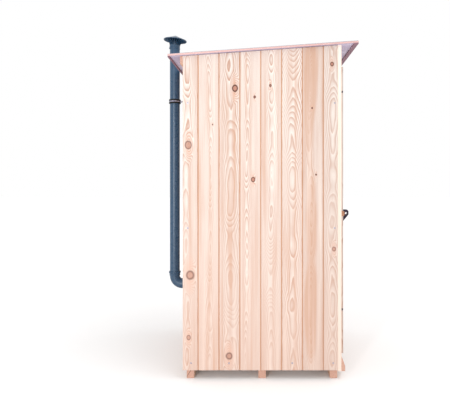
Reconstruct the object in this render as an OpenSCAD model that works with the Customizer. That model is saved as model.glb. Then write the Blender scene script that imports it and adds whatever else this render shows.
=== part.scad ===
// Small wooden outhouse: a boarded cabin on three skids, with a lean-to roof that falls to the rear,
// a ledged door on strap hinges at the front and a plastic vent pipe up the rear wall.
// The door faces -Y, left is -X, +Z is up. The origin is on the ground under the middle skid.

/* [Cabin] */
// Width over the side walls
cabin_w = 1000; // [850:10:1300]
// Depth from the front wall's face to the rear wall's face
cabin_d = 1050; // [850:10:1400]
// Height of the roof's underside above the ground, at mid depth
eaves_h = 2177; // [2150:1:2700]
// Thickness of the side and rear wall boards
board_t = 20; // [16:1:26]
// Thickness of the front wall boards
front_t = 25; // [18:1:32]
// Height of the side and rear boards' lower edge above the ground
skirt_z = 61; // [40:1:80]
// Height of the front boards' lower edge above the ground
front_skirt_z = 55; // [40:1:80]
// Gap between the side and rear boards' upper edge and the roof
board_top_gap = 2; // [0:1:10]

/* [Skids and floor] */
// How far the front skid reaches in past the posts, to carry the floor's edge
floor_bearing = 5; // [5:1:40]
// Height of a skid
skid_h = 95; // [85:1:140]
// Setback of the rear skid from the rear wall's face
rear_skid_in = 23; // [20:1:40]
// Thickness of the floor boards
floor_t = 20; // [18:1:30]

/* [Frame] */
// Side of the square posts and rails
stud = 45; // [38:1:60]
// Height of the top rails and of the roof bearer
top_rail_h = 70; // [45:1:90]
// Height of the mid rails' underside above the ground
mid_rail_z = 1100; // [900:10:1300]

/* [Roof] */
// Slope of the roof in degrees, falling to the rear
roof_pitch = 4; // [2:0.5:8]
// Thickness of the roof panel
roof_t = 12; // [9:1:21]
// Gap between the roof panel and the timbers under it
roof_seat = 0.05; // [0.02:0.01:0.5]
// Overhang in front of the front wall
roof_front = 108; // [60:1:200]
// Overhang behind the rear wall
roof_rear = 96; // [40:1:100]
// Overhang at each side
roof_side = 25; // [10:1:60]
// Width of the strip under the roof's front edge
front_strip_w = 30; // [15:1:50]
// Width of the strip under the roof's rear edge
rear_strip_w = 12; // [8:1:30]
// Thickness of both edge strips
strip_t = 8; // [4:1:15]
// Thickness of the batten along the top of the rear wall
batten_t = 18; // [12:1:25]
// Height of that batten
batten_h = 52; // [40:1:80]

/* [Doorway] */
// Width of the front wall beside the doorway
jamb_w = 100; // [95:1:140]
// Height of the front wall over the doorway, at the front wall's face
header_h = 160; // [120:1:300]
// Thickness of the weather board in front of the sill
drip_t = 24; // [18:1:35]
// Height of the weather board's flat front
drip_front_h = 35; // [20:1:50]
// Height of the bevel over that front
drip_bevel_h = 53; // [30:1:60]
// Thickness left at the bevel's upper edge
drip_lip_t = 5; // [3:1:10]

/* [Door] */
// Thickness of the door's boards
leaf_t = 18; // [15:1:24]
// How far the door laps over the wall at each side and at the top
leaf_lap = 30; // [20:1:36]
// How far the door laps over the sill
sill_lap = 12; // [6:1:20]
// Gap between the closed door and the front wall, and over the weather board
leaf_gap = 5; // [5:0.5:8]
// Height of each ledge on the door's inner face
ledge_h = 95; // [70:1:120]
// Thickness of the ledges and the brace
ledge_t = 20; // [16:1:24]
// Setback of the ledges' ends from the doorway's sides
ledge_in = 14; // [10:1:40]
// Distance from the door's foot to the lower ledge's middle
low_ledge_in = 322; // [200:1:450]
// Distance from the door's head to the upper ledge's middle
high_ledge_in = 184; // [120:1:350]
// Width of the brace, measured along the ledges
brace_w = 110; // [80:1:140]
// Setback of the brace's foot and head from the ledges' ends
brace_in = 20; // [10:1:60]

/* [Hinges] */
// Length of a strap from the hinge pin to its end
strap_len = 320; // [200:5:500]
// Height of a strap
strap_h = 40; // [30:1:50]
// Thickness of a strap and of its eye
strap_t = 4; // [3:0.5:5]
// Radius of the hinge pin
pin_r = 5; // [4:0.5:7]
// Radial clearance between the pin and the eye
pin_fit = 0.05; // [0.02:0.01:0.09]
// Distance from the door's edge to the hinge pin's axis
pin_off = 8; // [7:0.5:10]
// Gap between an eye and the bracket under it
eye_gap = 0.3; // [0.2:0.1:0.5]
// Width of a hinge bracket's wall plate
plate_w = 46; // [40:1:48]
// Height of a hinge bracket's wall plate
plate_h = 90; // [70:1:110]
// Thickness of the wall plate
plate_t = 4; // [3:0.5:5]
// Thickness of the bracket's arm
arm_t = 9; // [7:0.5:12]

/* [Handle] */
// Height of the handle's middle above the ground
handle_z = 1073; // [900:1:1200]
// Distance from the door's free edge to the handle's middle
handle_in = 45; // [35:1:90]
// Width of the handle
handle_w = 26; // [20:1:34]
// How far the handle stands out from the door
handle_out = 42; // [34:1:50]
// Height of the handle
handle_h = 84; // [76:1:110]
// Thickness of the handle round its finger hole
handle_t = 9; // [7:0.5:10]

/* [Vent pipe] */
// Outside diameter of the pipe
pipe_d = 75; // [50:0.5:90]
// Wall thickness of the pipe and its fittings
pipe_wall = 2.2; // [1.8:0.1:3.2]
// Gap between the roof's rear edge and the pipe
pipe_gap = 8.5; // [6:0.5:30]
// Height of the hole through the rear wall above the ground
elbow_z = 516; // [300:1:800]
// Radius of the elbow's bend, to the pipe's axis
bend_r = 60; // [50:1:70]
// Depth of the elbow's socket
socket_d = 34; // [28:1:60]
// Radial gap of the pipe in its sockets, the clamp and the collar
pipe_fit = 0.2; // [0.1:0.05:0.4]
// Width of the collar's ring round the hole in the wall
collar_w = 9.3; // [6:0.1:20]
// Thickness of the collar on the wall
collar_t = 14; // [8:1:20]
// Distance from the roof's underside at the rear wall down to the pipe clamp's middle
clamp_down = 230; // [120:1:600]
// Height of the pipe clamp
clamp_h = 28; // [20:1:40]
// Thickness of the pipe clamp, with its rubber
clamp_t = 4; // [3:0.5:6]
// Diameter of the clamp's stud
stud_d = 8; // [6:1:12]

/* [Cowl] */
// Rise of the pipe's upper end over the top of the roof's rear edge
pipe_rise = 194; // [150:1:800]
// Diameter of the cowl's hat
hat_d = 175; // [150:1:200]
// Height of the hat's cone
hat_h = 38; // [30:1:50]
// Height of the open slots between the collar and the hat's rim
slot_h = 36; // [28:1:50]
// Number of fins that carry the hat
fins = 12; // [8:1:16]
// Thickness of a fin
fin_t = 2.5; // [2:0.5:4]
// Depth of the cowl's collar over the pipe
cowl_collar_h = 30; // [20:1:50]

/* [Hidden] */
$fn = 64;

// Planes of the cabin, from the outside inwards
side_x = cabin_w / 2;
frame_x = side_x - board_t;
room_x = frame_x - stud;
front_y = -cabin_d / 2;
rear_y = cabin_d / 2;
frame_front_y = front_y + front_t;
frame_rear_y = rear_y - board_t;
room_front_y = frame_front_y + stud;
room_rear_y = frame_rear_y - stud;
sole_top = skid_h + stud;
skid_w = stud + floor_bearing;

// Planes of the roof
roof_front_y = front_y - roof_front;
roof_rear_y = rear_y + roof_rear;
roof_rise_t = roof_t / cos(roof_pitch);

// Doorway and weather board
doorway_x = side_x - jamb_w;
weather_top = front_skirt_z + drip_front_h + drip_bevel_h;
sill_z = weather_top + leaf_gap + sill_lap;
doorway_top = eaves_h - front_y * tan(roof_pitch) - header_h;

// Planes of the door, from the wall outwards
leaf_back_y = front_y - leaf_gap;
leaf_face_y = leaf_back_y - leaf_t;
leaf_x = doorway_x + leaf_lap;
leaf_z = sill_z - sill_lap;
leaf_top = doorway_top + leaf_lap;
ledge_x = doorway_x - ledge_in;
low_ledge_z = leaf_z + low_ledge_in;
high_ledge_z = leaf_top - high_ledge_in;

// Hinge pin's axis; the strap's back lies on the door and rolls outwards into the eye
eye_r = pin_r + pin_fit + strap_t;
hinge_x = leaf_x + pin_off;
hinge_y = leaf_face_y - eye_r;

// Vent
pipe_r = pipe_d / 2;
pipe_out = roof_rear + pipe_gap + pipe_r;
pipe_y = rear_y + pipe_out;
bore_r = pipe_r - pipe_wall;
socket_r = pipe_r + pipe_fit + pipe_wall + 1;
bead_r = socket_r + 3;
bead_h = 10;
elbow_top = elbow_z + bend_r;
pipe_foot = elbow_top + 5;
pipe_top = eaves_h - roof_rear_y * tan(roof_pitch) + roof_rise_t + pipe_rise;
clamp_z = eaves_h - rear_y * tan(roof_pitch) - clamp_down;
cowl_neck = pipe_top + 3;
hat_z = cowl_neck + slot_h;

timber = [0.93, 0.80, 0.66];
board = [0.96, 0.86, 0.76];
film = [0.55, 0.45, 0.48];
pvc = [0.25, 0.33, 0.42];
steel = [0.62, 0.63, 0.64];
black_iron = [0.20, 0.18, 0.22];

// Height of the roof's underside at depth y
function under(y) = eaves_h - y * tan(roof_pitch);

// An outline in Y and Z, given thickness from x0 to x1
module slab_x(outline, x0, x1)
    translate([x0, 0, 0])
        rotate([90, 0, 90])
            linear_extrude(x1 - x0)
                polygon(outline);

// A box between two corners
module box(low, high)
    translate(low)
        cube(high - low);

// A timber from y0 to y1 whose foot is level and whose top follows the roof, less gap
module up_to_roof(x0, x1, y0, y1, foot, gap = 0)
    slab_x([[y0, foot], [y1, foot], [y1, under(y1) - gap], [y0, under(y0) - gap]], x0, x1);

// A timber from y0 to y1 that hangs under the roof, h high
module along_roof(x0, x1, y0, y1, h)
    slab_x([[y0, under(y0) - h], [y1, under(y1) - h], [y1, under(y1)], [y0, under(y0)]], x0, x1);

// A skid across the cabin whose front face is at y
module skid(y)
    color(timber)
        box([-frame_x, y, 0], [frame_x, y + skid_w, skid_h]);

module skid_rear() skid(rear_y - rear_skid_in - skid_w);
module skid_middle() skid(-skid_w / 2);
module skid_front() skid(frame_front_y);

module floor_boards()
    color(timber)
        box([-room_x, room_front_y, skid_h], [room_x, room_rear_y, skid_h + floor_t]);

// Side sole plate; side is -1 for the left, 1 for the right
module sole_plate(side)
    color(timber)
        box([min(side * room_x, side * frame_x), frame_front_y, skid_h],
            [max(side * room_x, side * frame_x), frame_rear_y, sole_top]);

module sole_plate_left() sole_plate(-1);
module sole_plate_right() sole_plate(1);

module sole_plate_rear()
    color(timber)
        box([-room_x, room_rear_y, skid_h], [room_x, frame_rear_y, sole_top]);

module door_sill()
    color(timber)
        box([-room_x, frame_front_y, skid_h], [room_x, room_front_y, sill_z]);

// Corner post, standing on a side sole plate
module post(side, y)
    color(timber)
        up_to_roof(min(side * room_x, side * frame_x), max(side * room_x, side * frame_x),
                   y, y + stud, sole_top);

module post_front_left() post(-1, frame_front_y);
module post_front_right() post(1, frame_front_y);
module post_rear_left() post(-1, room_rear_y);
module post_rear_right() post(1, room_rear_y);

module mid_rail(side)
    color(timber)
        box([min(side * room_x, side * frame_x), room_front_y, mid_rail_z],
            [max(side * room_x, side * frame_x), room_rear_y, mid_rail_z + stud]);

module mid_rail_left() mid_rail(-1);
module mid_rail_right() mid_rail(1);

module mid_rail_rear()
    color(timber)
        box([-room_x, room_rear_y, mid_rail_z], [room_x, frame_rear_y, mid_rail_z + stud]);

module top_rail(side)
    color(timber)
        along_roof(min(side * room_x, side * frame_x), max(side * room_x, side * frame_x),
                   room_front_y, room_rear_y, top_rail_h);

module top_rail_left() top_rail(-1);
module top_rail_right() top_rail(1);

// A timber across the cabin, under the roof, whose front face is at y
module cross_rail(y)
    color(timber)
        along_roof(-room_x, room_x, y, y + stud, top_rail_h);

module top_rail_front() cross_rail(frame_front_y);
module top_rail_rear() cross_rail(room_rear_y);
module roof_bearer() cross_rail(-stud / 2);

module side_wall(x0)
    color(board)
        up_to_roof(x0, x0 + board_t, frame_front_y, rear_y, skirt_z, board_top_gap);

module left_wall() side_wall(-side_x);
module right_wall() side_wall(frame_x);

module rear_wall()
    color(board)
        difference() {
            up_to_roof(-frame_x, frame_x, frame_rear_y, rear_y, skirt_z, board_top_gap);
            translate([0, rear_y + 1, elbow_z])
                rotate([90, 0, 0])
                    cylinder(r = pipe_r + pipe_fit, h = board_t + 2);
        }

// A piece of the front wall between two heights or up to the roof
module front_piece(x0, x1, foot)
    color(board)
        up_to_roof(x0, x1, front_y, frame_front_y, foot);

module front_wall_left() front_piece(-side_x, -doorway_x, front_skirt_z);
module front_wall_right() front_piece(doorway_x, side_x, front_skirt_z);
module front_wall_top() front_piece(-doorway_x, doorway_x, doorway_top);

module front_wall_foot()
    color(board)
        box([-doorway_x, front_y, front_skirt_z], [doorway_x, frame_front_y, sill_z]);

// Weather board whose bevel sheds water in front of the sill
module weather_board()
    color(board)
        slab_x([
            [front_y, front_skirt_z],
            [front_y, front_skirt_z + drip_front_h + drip_bevel_h],
            [front_y - drip_lip_t, front_skirt_z + drip_front_h + drip_bevel_h],
            [front_y - drip_t, front_skirt_z + drip_front_h],
            [front_y - drip_t, front_skirt_z]
        ], -side_x, side_x);

module rear_batten()
    color(timber)
        along_roof(-side_x, side_x, rear_y, rear_y + batten_t, batten_h);

module roof_panel()
    color(film)
        translate([0, 0, roof_rise_t + roof_seat])
            along_roof(-side_x - roof_side, side_x + roof_side, roof_front_y, roof_rear_y,
                       roof_rise_t);

// Strip under an edge of the roof, from y0 to y1
module roof_strip(y0, y1)
    color(film)
        along_roof(-side_x - roof_side, side_x + roof_side, y0, y1, strip_t);

module roof_strip_front() roof_strip(roof_front_y, roof_front_y + front_strip_w);
module roof_strip_rear() roof_strip(roof_rear_y - rear_strip_w, roof_rear_y);

// A tube along Z
module tube(r_out, r_in, h)
    difference() {
        cylinder(r = r_out, h = h);
        translate([0, 0, -1])
            cylinder(r = r_in, h = h + 2);
    }

module vent_pipe()
    color(pvc)
        translate([0, pipe_y, pipe_foot])
            tube(pipe_r, bore_r, pipe_top - pipe_foot);

// Elbow: a spigot through the rear wall, a quarter bend and a socket that takes the pipe's foot
module vent_elbow()
    color(pvc) {
        difference() {
            union() {
                translate([0, pipe_y - bend_r, elbow_z])
                    rotate([90, 0, 0])
                        cylinder(r = pipe_r, h = pipe_out - bend_r + board_t + 20);
                translate([0, pipe_y - bend_r, elbow_top])
                    rotate([90, 0, 90])
                        rotate([0, 0, -90])
                            rotate_extrude(angle = 90)
                                translate([bend_r, 0])
                                    circle(r = pipe_r);
                translate([0, pipe_y, elbow_top])
                    cylinder(r = socket_r, h = socket_d);
                translate([0, pipe_y, elbow_top + socket_d - bead_h])
                    cylinder(r = bead_r, h = bead_h);
            }
            translate([0, pipe_y - bend_r, elbow_z])
                rotate([90, 0, 0])
                    cylinder(r = bore_r, h = pipe_out - bend_r + board_t + 21);
            translate([0, pipe_y - bend_r, elbow_top])
                rotate([90, 0, 90])
                    rotate([0, 0, -90])
                        rotate_extrude(angle = 90)
                            translate([bend_r, 0])
                                circle(r = bore_r);
            translate([0, pipe_y, elbow_top])
                cylinder(r = bore_r, h = socket_d + 1);
            translate([0, pipe_y, pipe_foot])
                cylinder(r = pipe_r + pipe_fit, h = socket_d + 1);
        }
    }

module wall_collar()
    color(pvc)
        translate([0, rear_y + collar_t, elbow_z])
            rotate([90, 0, 0])
                tube(pipe_r + pipe_fit + collar_w, pipe_r + pipe_fit, collar_t);

module pipe_clamp()
    color(steel)
        translate([0, pipe_y, clamp_z - clamp_h / 2])
            tube(pipe_r + pipe_fit + clamp_t, pipe_r + pipe_fit, clamp_h);

// Stud from the clamp to the rear wall, with a round foot
module clamp_stud()
    color(steel)
        translate([0, rear_y, clamp_z])
            rotate([-90, 0, 0]) {
                cylinder(r = 2 * stud_d, h = 4);
                cylinder(r = stud_d / 2, h = pipe_out - pipe_r - pipe_fit - clamp_t);
            }

// Cowl: a collar over the pipe, fins that flare outwards and a low conical hat
module vent_cowl()
    color(pvc)
        translate([0, pipe_y, 0]) {
            collar_r = pipe_r + pipe_fit + pipe_wall;
            translate([0, 0, cowl_neck - cowl_collar_h])
                tube(collar_r, pipe_r + pipe_fit, cowl_collar_h);
            translate([0, 0, cowl_neck - cowl_collar_h])
                tube(collar_r + 2, pipe_r + pipe_fit, bead_h);
            for (turn = [0:fins - 1])
                rotate([0, 0, turn * 360 / fins])
                    translate([0, fin_t / 2, 0])
                        rotate([90, 0, 0])
                            linear_extrude(fin_t)
                                polygon([
                                    [pipe_r - 8, cowl_neck],
                                    [collar_r, cowl_neck - 4],
                                    [collar_r + 2, cowl_neck + slot_h * 0.3],
                                    [collar_r + 10, cowl_neck + slot_h * 0.6],
                                    [collar_r + 24, cowl_neck + slot_h * 0.85],
                                    [hat_d / 2 - 4, hat_z],
                                    [hat_d / 2 - 4, hat_z + 2],
                                    [pipe_r - 8, hat_z + hat_h * 0.5]
                                ]);
            difference() {
                translate([0, 0, hat_z])
                    cylinder(r1 = hat_d / 2, r2 = 4, h = hat_h);
                translate([0, 0, hat_z - 3])
                    cylinder(r1 = hat_d / 2, r2 = 4, h = hat_h);
            }
        }

// Bracket on the front wall that carries a hinge pin; z is the strap's middle
module hinge_bracket(z) {
    arm_z = z - strap_h / 2 - eye_gap - arm_t;
    color(black_iron) {
        box([hinge_x, front_y - plate_t, z - plate_h / 2], [hinge_x + plate_w, front_y, z + plate_h / 2]);
        box([hinge_x, hinge_y, arm_z], [hinge_x + 2 * pin_r + 4, front_y - plate_t, arm_z + arm_t]);
        translate([hinge_x, hinge_y, arm_z])
            cylinder(r = pin_r + 3, h = arm_t);
        translate([hinge_x, hinge_y, arm_z])
            cylinder(r = pin_r, h = arm_t + eye_gap + strap_h + 4);
    }
}

module hinge_bracket_top() hinge_bracket(high_ledge_z);
module hinge_bracket_bottom() hinge_bracket(low_ledge_z);

module door_leaf()
    color(board)
        box([-leaf_x, leaf_face_y, leaf_z], [leaf_x, leaf_back_y, leaf_top]);

// Ledge across the door's inner face
module ledge(z)
    color(timber)
        box([-ledge_x, leaf_back_y, z - ledge_h / 2], [ledge_x, leaf_back_y + ledge_t, z + ledge_h / 2]);

module door_ledge_top() ledge(high_ledge_z);
module door_ledge_bottom() ledge(low_ledge_z);

// Brace that rises from the hinge side to the free side
module door_brace() {
    foot = low_ledge_z + ledge_h / 2;
    head = high_ledge_z - ledge_h / 2;
    end_x = ledge_x - brace_in;
    color(timber)
        translate([0, leaf_back_y + ledge_t, 0])
            rotate([90, 0, 0])
                linear_extrude(ledge_t)
                    polygon([[end_x, foot], [-end_x + brace_w, head], [-end_x, head], [end_x - brace_w, foot]]);
}

// Strap across the door's face, rolled into an eye round the hinge pin
module hinge_strap(z)
    color(black_iron)
        difference() {
            union() {
                box([hinge_x - strap_len, leaf_face_y - strap_t, z - strap_h / 2],
                    [hinge_x, leaf_face_y, z + strap_h / 2]);
                translate([hinge_x, hinge_y, z - strap_h / 2])
                    cylinder(r = eye_r, h = strap_h);
            }
            translate([hinge_x, hinge_y, z - strap_h / 2 - 1])
                cylinder(r = pin_r + pin_fit, h = strap_h + 2);
        }

module hinge_strap_top() hinge_strap(high_ledge_z);
module hinge_strap_bottom() hinge_strap(low_ledge_z);

// Cast pull with a finger hole, tapering to the door below
module door_handle()
    color(black_iron) {
        mid_x = -leaf_x + handle_in;
        out_y = leaf_face_y - handle_out;
        high = handle_z + handle_h / 2;
        low = handle_z - handle_h / 2;
        difference() {
            slab_x([
                [leaf_face_y, low],
                [leaf_face_y, high],
                [out_y + handle_t, high],
                [out_y, high - handle_t],
                [out_y, high - 4 * handle_t],
                [leaf_face_y - handle_t, low]
            ], mid_x - handle_w / 2, mid_x + handle_w / 2);
            slab_x([
                [leaf_face_y - handle_t, high - handle_t],
                [out_y + handle_t, high - handle_t],
                [out_y + handle_t, high - 4 * handle_t],
                [leaf_face_y - handle_t, high - 5 * handle_t]
            ], mid_x - handle_w, mid_x + handle_w);
        }
    }

skid_rear();
skid_middle();
skid_front();
floor_boards();
sole_plate_left();
sole_plate_right();
sole_plate_rear();
door_sill();
post_front_left();
post_front_right();
post_rear_left();
post_rear_right();
mid_rail_left();
mid_rail_right();
mid_rail_rear();
top_rail_left();
top_rail_right();
top_rail_front();
top_rail_rear();
roof_bearer();
left_wall();
right_wall();
rear_wall();
front_wall_left();
front_wall_right();
front_wall_top();
front_wall_foot();
weather_board();
rear_batten();
roof_panel();
roof_strip_front();
roof_strip_rear();
vent_pipe();
vent_elbow();
vent_cowl();
wall_collar();
pipe_clamp();
clamp_stud();
hinge_bracket_top();
hinge_bracket_bottom();
door_leaf();
door_ledge_top();
door_ledge_bottom();
door_brace();
hinge_strap_top();
hinge_strap_bottom();
door_handle();
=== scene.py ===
import functools
import math
import random

import bpy
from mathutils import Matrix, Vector


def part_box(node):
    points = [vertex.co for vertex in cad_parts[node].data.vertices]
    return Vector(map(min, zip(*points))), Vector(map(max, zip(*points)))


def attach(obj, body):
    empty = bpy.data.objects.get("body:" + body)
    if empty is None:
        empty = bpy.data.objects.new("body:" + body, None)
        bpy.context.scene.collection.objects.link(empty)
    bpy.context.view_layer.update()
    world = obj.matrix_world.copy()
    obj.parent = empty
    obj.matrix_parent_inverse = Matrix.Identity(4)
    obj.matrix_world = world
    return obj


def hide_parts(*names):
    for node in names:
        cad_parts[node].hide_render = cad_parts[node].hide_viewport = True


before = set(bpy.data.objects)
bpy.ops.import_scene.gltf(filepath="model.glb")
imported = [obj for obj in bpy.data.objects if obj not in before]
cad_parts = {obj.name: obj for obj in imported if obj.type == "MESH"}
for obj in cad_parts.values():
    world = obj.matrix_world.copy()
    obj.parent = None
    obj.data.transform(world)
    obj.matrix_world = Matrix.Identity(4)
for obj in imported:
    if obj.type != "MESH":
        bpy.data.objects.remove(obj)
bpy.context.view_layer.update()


# The ground and the light. The cabin stands on a plain matt white floor under a white sky. A broad lamp
# high on the door's side gives the soft shadow, and a tall narrow one draws a gleam down the vent pipe.

def linear(code):
    """An sRGB hex colour as linear red, green, blue and alpha."""
    parts = [int(code[i:i + 2], 16) / 255 for i in (0, 2, 4)]
    return tuple(p / 12.92 if p <= 0.04045 else ((p + 0.055) / 1.055) ** 2.4 for p in parts) + (1.0,)


def give(node, key, value):
    """Gives a node's input a number, a colour's hex code, or another node's output."""
    if isinstance(value, bpy.types.NodeSocket):
        node.id_data.links.new(value, node.inputs[key])
    elif value is not None:
        node.inputs[key].default_value = linear(value) if isinstance(value, str) else value


def add(tree, kind, *values, out=0, **named):
    """Adds a shader node and returns one of its outputs. Its operation, if any, follows its kind's dot.

    The values go to its inputs in order. A name with a capital is an input too; others are settings.
    """
    kind, _, operation = kind.partition(".")
    made = tree.nodes.new("ShaderNode" + kind)
    if operation:
        made.operation = operation
    for key, value in [*named.items(), *enumerate(values)]:
        if isinstance(key, str) and key[0].islower():
            setattr(made, key, value)
        else:
            give(made, key, value)
    return made.outputs[out]


def finish_named(name, **sockets):
    """A new material with the shader's own sockets set, what adds a node to it, and its shader."""
    made = bpy.data.materials.new(name)
    made.use_nodes = True
    shader = made.node_tree.nodes["Principled BSDF"]
    for key, value in sockets.items():
        give(shader, key.replace("_", " "), value)
    return made, functools.partial(add, made.node_tree), shader


def settle(name):
    """Names the piece just modelled and puts its place into its mesh, so that its object is at the origin."""
    if bpy.context.object.mode != "OBJECT":
        bpy.ops.object.mode_set(mode="OBJECT")
    piece = bpy.context.object
    bpy.ops.object.select_all(action="DESELECT")
    piece.select_set(True)
    bpy.ops.object.transform_apply(location=True, rotation=True, scale=True)
    piece.name = name
    piece.data.name = name
    return piece


bpy.ops.object.select_all(action="DESELECT")
bpy.ops.mesh.primitive_plane_add(size=40, location=(0, 0, 0))
floor = settle("studio_floor")
floor_paint = finish_named("matt_white_paint", Base_Color="F4F4F4", Roughness=0.95, Specular_IOR_Level=0.1)[0]
floor.data.materials.append(floor_paint)

sky = bpy.data.worlds.new("white_sky")
sky.use_nodes = True
give(sky.node_tree.nodes["Background"], "Color", "FFFFFF")
give(sky.node_tree.nodes["Background"], "Strength", 1.0)
bpy.context.scene.world = sky
bpy.context.scene.view_settings.view_transform = "Standard"


def stand(name, data, at, turn=(0, 0, 0), **settings):
    """Stands a lamp or the camera in the studio, with its settings."""
    for key, value in settings.items():
        setattr(data, key, value)
    made = bpy.data.objects.new(name, data)
    made.location = at
    made.rotation_euler = turn
    bpy.context.scene.collection.objects.link(made)
    return made


stand("key_lamp", bpy.data.lights.new("key_lamp", "SUN"), (0, 0, 0),
      Vector((-0.2, -0.5, 0.85)).to_track_quat("Z", "Y").to_euler(), energy=0.65, angle=math.radians(45))
stand("strip_lamp", bpy.data.lights.new("strip_lamp", "AREA"), (-4.5, 1.65, 1.4),
      (math.radians(90), 0, math.radians(-103)), shape="RECTANGLE", size=0.22, size_y=2.6, energy=78)

# A weak lamp over the ground under the cabin stands for the light that a bright studio floor returns.
stand("low_lamp", bpy.data.lights.new("low_lamp", "AREA"), (0, 0, 0.093), size=0.84, energy=0.15)

# The camera stands level, square to the left wall and 3.07 m from it, at a person's chest height.
wall_distance = 3.07
camera_up = 1.38
bpy.context.scene.camera = stand(
    "camera", bpy.data.cameras.new("camera"), (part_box("left_wall")[0].x - wall_distance, 0.005, camera_up),
    (math.radians(90), 0, math.radians(-90)), sensor_width=36, lens=37.16, shift_x=-0.0809, shift_y=-0.0649)


# The skids: three sawn pine timbers across the cabin's foot, which carry it off the wet ground. Their
# sawn ends show under the side walls, with growth rings and, on the rear one, a drying crack.

def keep_cad(node, width, material):
    """Keeps a CAD node: joins its loose triangles, rounds its arrises, and gives it a material."""
    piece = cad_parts[node]
    joined = piece.modifiers.new("joined", "WELD")
    joined.merge_threshold = 0.00001
    eased = piece.modifiers.new("eased_edges", "BEVEL")
    eased.width = width
    eased.segments = 2
    eased.limit_method = "ANGLE"
    eased.angle_limit = math.radians(30)
    piece.data.materials.clear()
    piece.data.materials.append(material)


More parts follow.
